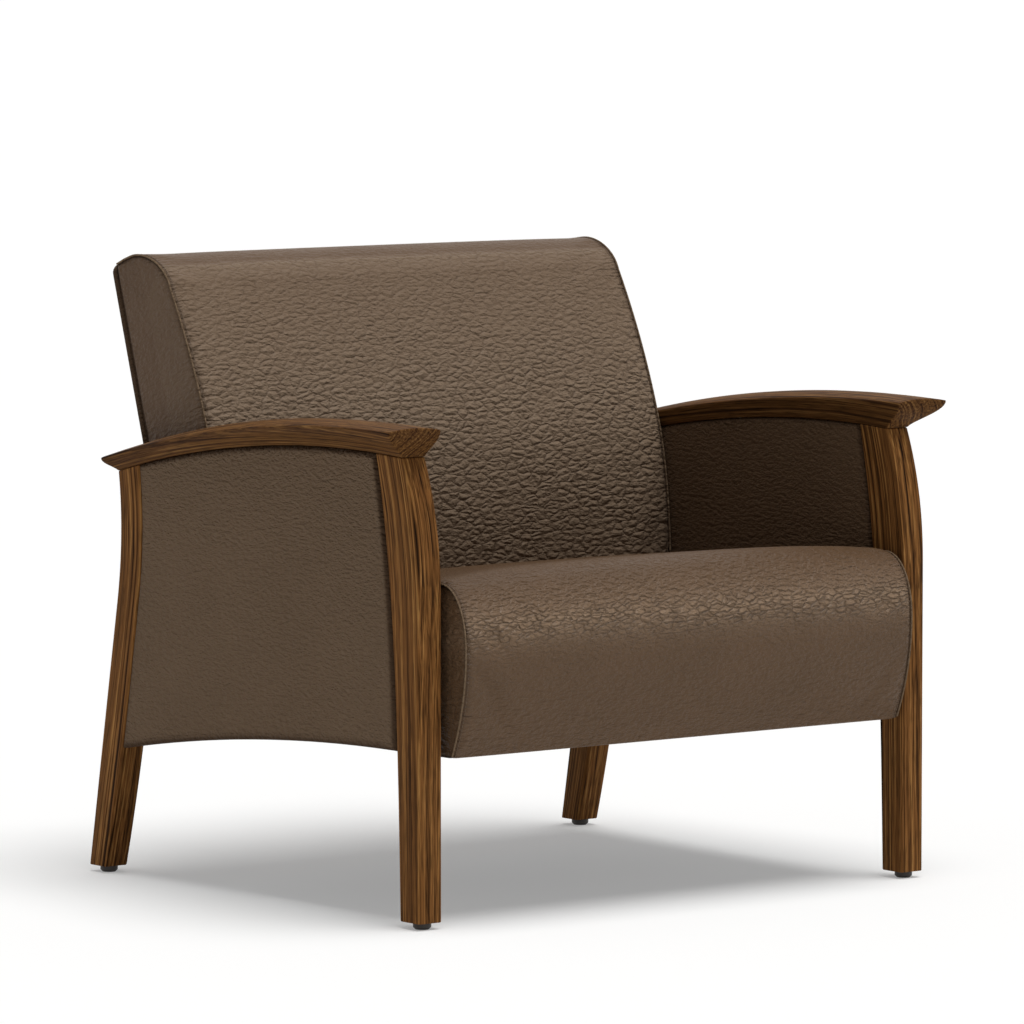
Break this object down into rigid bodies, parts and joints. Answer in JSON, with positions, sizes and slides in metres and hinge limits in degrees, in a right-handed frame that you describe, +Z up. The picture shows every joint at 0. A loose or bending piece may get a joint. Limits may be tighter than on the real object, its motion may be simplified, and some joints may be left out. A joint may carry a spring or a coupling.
{
  "type": "bariatric armchair",
  "caption": "Extra-wide armchair for heavy sitters: bowed, raked wooden legs, arched arm caps, padded side panels, sprung bullnose seat and crowned back.",
  "frame": {"origin": "on the floor, at the middle of the chair's width and depth", "axes": "+Z up, the sitter faces -Y, +X is to the right of someone who looks along +Y at the seat"},
  "size_m": [0.952, 0.8012, 0.8534],
  "materials": {
    "frame_wood": "satin brown stain with straight dark grain",
    "inner_wood": "bare hardwood and plywood",
    "vinyl": "taupe-brown upholstery vinyl with a crackled grain",
    "panel_vinyl": "the same brown vinyl with a finer grain",
    "foam": "open-cell seat foam",
    "black_steel": "black powder coat",
    "zinc_steel": "bright zinc plate",
    "spring_steel": "oiled spring wire",
    "brass": "turned brass",
    "glide_plastic": "dark brown moulded nylon",
    "dust_cloth": "black non-woven cloth"
  },
  "bodies": {
    "root": {"front_leg_left": "frame_wood", "front_leg_right": "frame_wood", "rear_leg_left": "frame_wood", "rear_leg_right": "frame_wood", "arm_cap_left": "frame_wood", "arm_cap_right": "frame_wood", "upper_side_rail_left": "inner_wood", "upper_side_rail_right": "inner_wood", "lower_side_rail_left": "frame_wood", "lower_side_rail_right": "frame_wood", "side_board_left": "inner_wood", "side_board_right": "inner_wood", "outer_side_pad_left": "panel_vinyl", "outer_side_pad_right": "panel_vinyl", "inner_side_pad_left": "panel_vinyl", "inner_side_pad_right": "panel_vinyl", "rear_stretcher": "frame_wood", "leg_glides": "glide_plastic", "arm_dowels": "inner_wood", "rail_dowels": "inner_wood", "front_cross_tube": "black_steel", "rear_cross_tube": "black_steel", "cross_tube_bolts": "zinc_steel", "threaded_inserts": "brass", "seat_front_rail": "inner_wood", "seat_rear_rail": "inner_wood", "seat_side_rails": "inner_wood", "seat_corner_blocks": "inner_wood", "seat_frame_screws": "zinc_steel", "seat_springs": "spring_steel", "seat_spring_clips": "spring_steel", "seat_foam": "foam", "seat_upholstery": "vinyl", "dust_cover": "dust_cloth", "back_stiles": "inner_wood", "back_top_rail": "inner_wood", "back_bottom_rail": "inner_wood", "back_springs": "spring_steel", "back_spring_clips": "spring_steel", "back_foam": "foam", "back_upholstery": "vinyl", "back_outer_panel": "panel_vinyl", "back_bolts": "zinc_steel", "back_spacers": "zinc_steel"}
  },
  "joints": []
}
